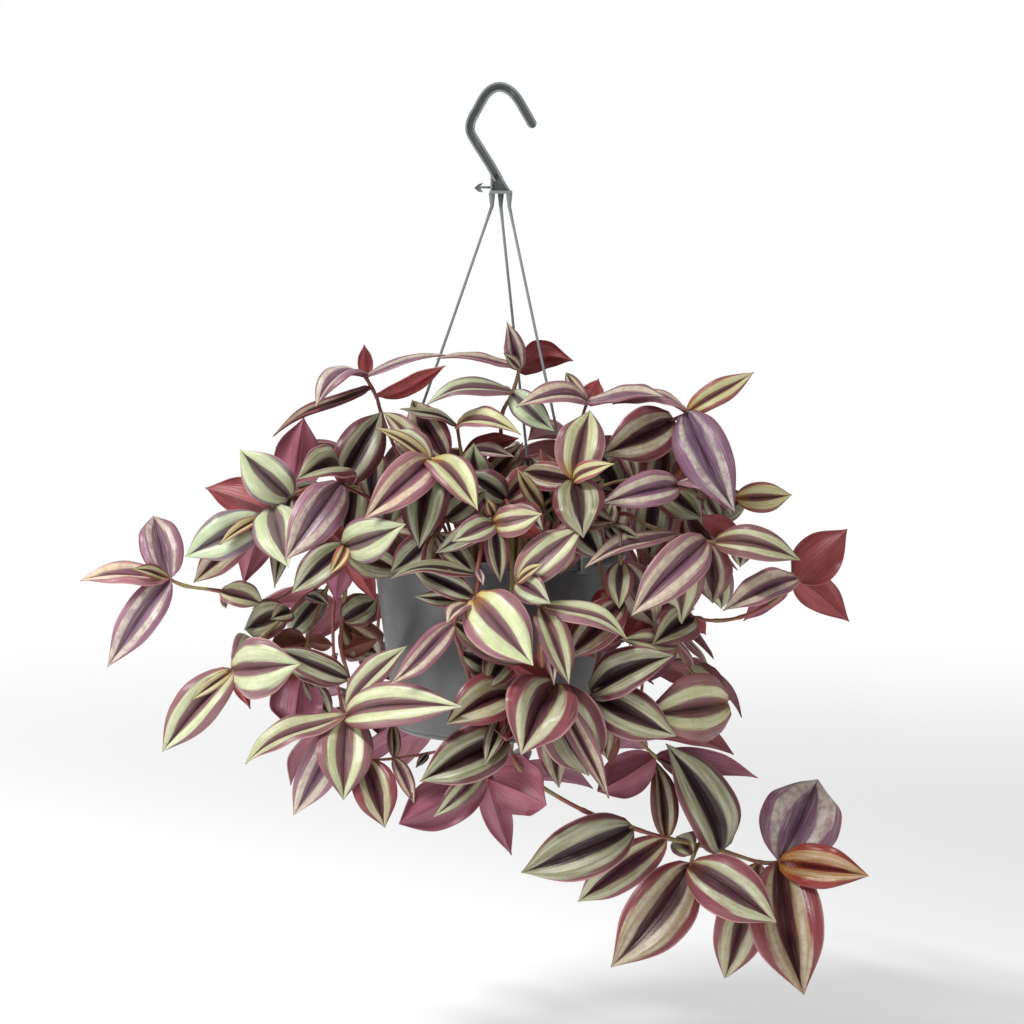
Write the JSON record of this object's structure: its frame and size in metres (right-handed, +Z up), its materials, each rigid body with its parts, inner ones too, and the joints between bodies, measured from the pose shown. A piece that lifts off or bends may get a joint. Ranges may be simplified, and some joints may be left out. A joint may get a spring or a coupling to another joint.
{
  "type": "potted tradescantia",
  "caption": "Hanging pot of trailing striped-leaf spiderwort on a three-strand hanger, carried by its hook.",
  "frame": {"origin": "seat of the hook, inside the top of its bend, where a rail or cup hook carries the pot", "axes": "+Z up, +X to the right seen from the front, -Y towards the front"},
  "size_m": [0.4478, 0.2862, 0.5174],
  "materials": {
    "pot": "smooth satin grey moulded plastic",
    "medium": null,
    "hanger": "dark grey-green moulded plastic with paler worn edges",
    "leaf": null
  },
  "bodies": {
    "root": {"growing_medium": "medium", "hanger": "hanger", "pot": "pot", "stem_back_arching_1": "leaf", "stem_back_arching_2": "leaf", "stem_back_arching_3": "leaf", "stem_back_arching_4": "leaf", "stem_back_arching_5": "leaf", "stem_back_inner_1": "leaf", "stem_back_inner_2": "leaf", "stem_back_inner_3": "leaf", "stem_back_inner_4": "leaf", "stem_back_inner_5": "leaf", "stem_back_trailing_1": "leaf", "stem_back_trailing_2": "leaf", "stem_back_trailing_3": "leaf", "stem_back_trailing_4": "leaf", "stem_back_trailing_5": "leaf", "stem_back_trailing_6": "leaf", "stem_back_trailing_7": "leaf", "stem_back_trailing_8": "leaf", "stem_deep_left": "leaf", "stem_deep_mid_left": "leaf", "stem_deep_middle": "leaf", "stem_deep_right": "leaf", "stem_drop_left": "leaf", "stem_drop_right": "leaf", "stem_far_right": "leaf", "stem_front_left": "leaf", "stem_front_middle": "leaf", "stem_front_right": "leaf", "stem_front_top": "leaf", "stem_high_left": "leaf", "stem_high_mid_right": "leaf", "stem_high_middle": "leaf", "stem_high_right": "leaf", "stem_inner_front": "leaf", "stem_inner_left": "leaf", "stem_inner_right": "leaf", "stem_long_left": "leaf", "stem_long_right": "leaf", "stem_mid_right": "leaf", "stem_pale_right": "leaf", "stem_rim_left": "leaf", "stem_rim_right": "leaf", "stem_shoulder_left": "leaf", "stem_shoulder_middle": "leaf", "stem_shoulder_right": "leaf", "stem_side_trailing_1": "leaf", "stem_side_trailing_2": "leaf", "stem_top_middle": "leaf", "stem_tuft_left": "leaf", "stem_upper_left": "leaf", "stem_upright_left": "leaf"}
  },
  "joints": []
}
